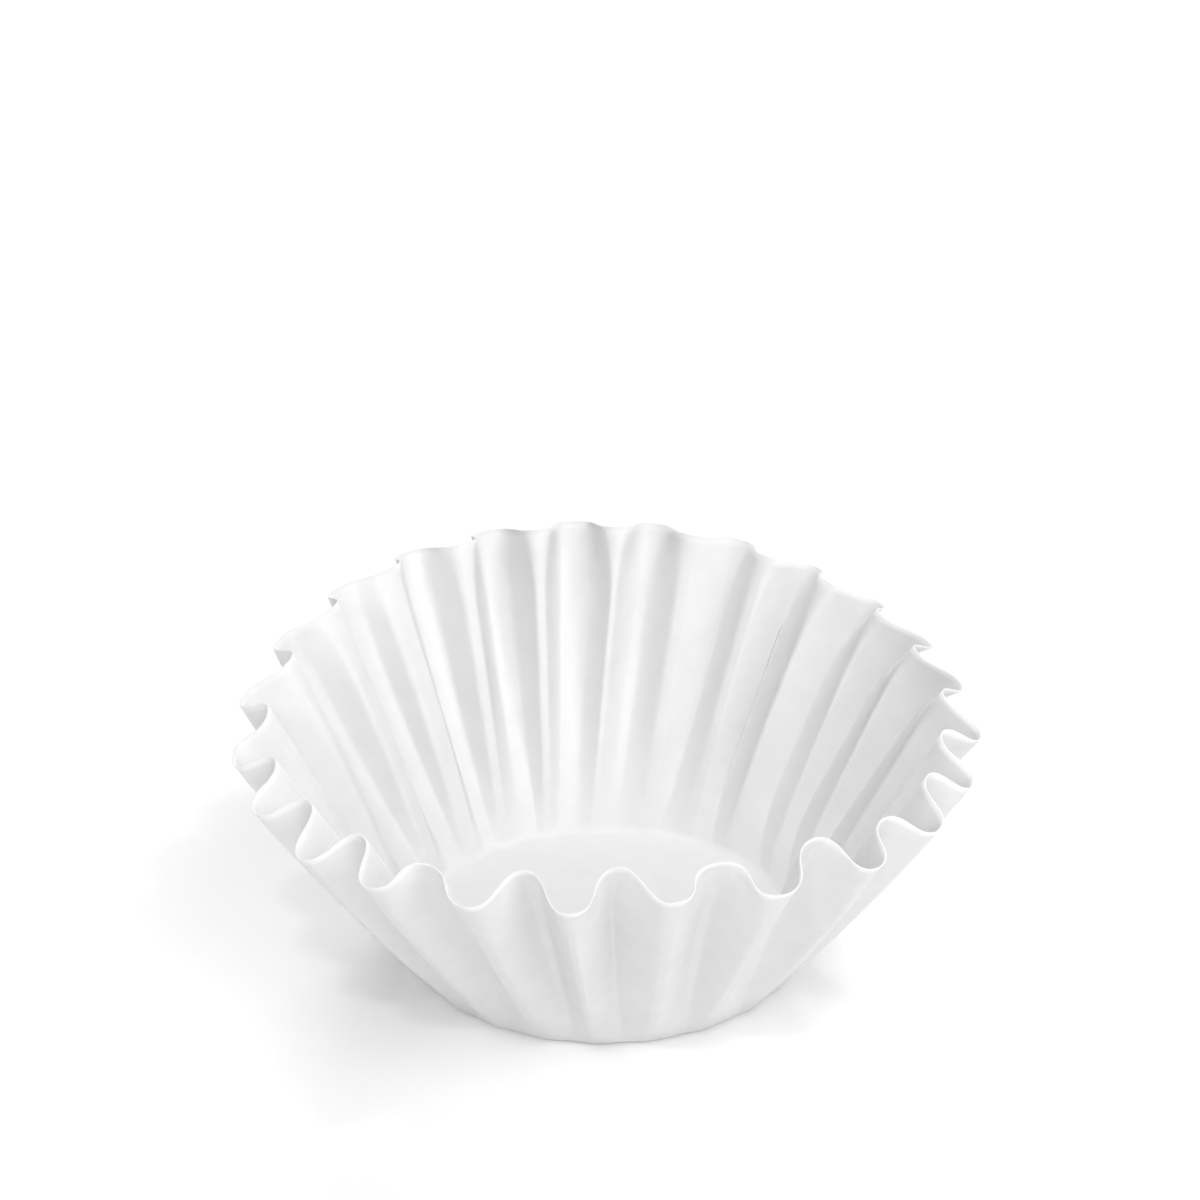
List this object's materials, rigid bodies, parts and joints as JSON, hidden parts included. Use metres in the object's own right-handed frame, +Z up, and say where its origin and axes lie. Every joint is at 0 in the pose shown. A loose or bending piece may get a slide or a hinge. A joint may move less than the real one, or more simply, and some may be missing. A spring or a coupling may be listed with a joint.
{
  "type": "paper coffee filter",
  "caption": "Basket coffee filter pressed from one round sheet of white crepe paper, with a flat base and an open fluted wall.",
  "frame": {"origin": "the middle of the underside of the flat base, on the surface it stands on", "axes": "+Z up through the open mouth, +Y towards the back, where the wall is steepest, +X to the right seen from the front"},
  "size_m": [0.1463, 0.1415, 0.0644],
  "materials": {
    "filter_paper": "matt crepe paper, bleached white"
  },
  "bodies": {
    "root": {"pleated_filter": "filter_paper"}
  },
  "joints": []
}
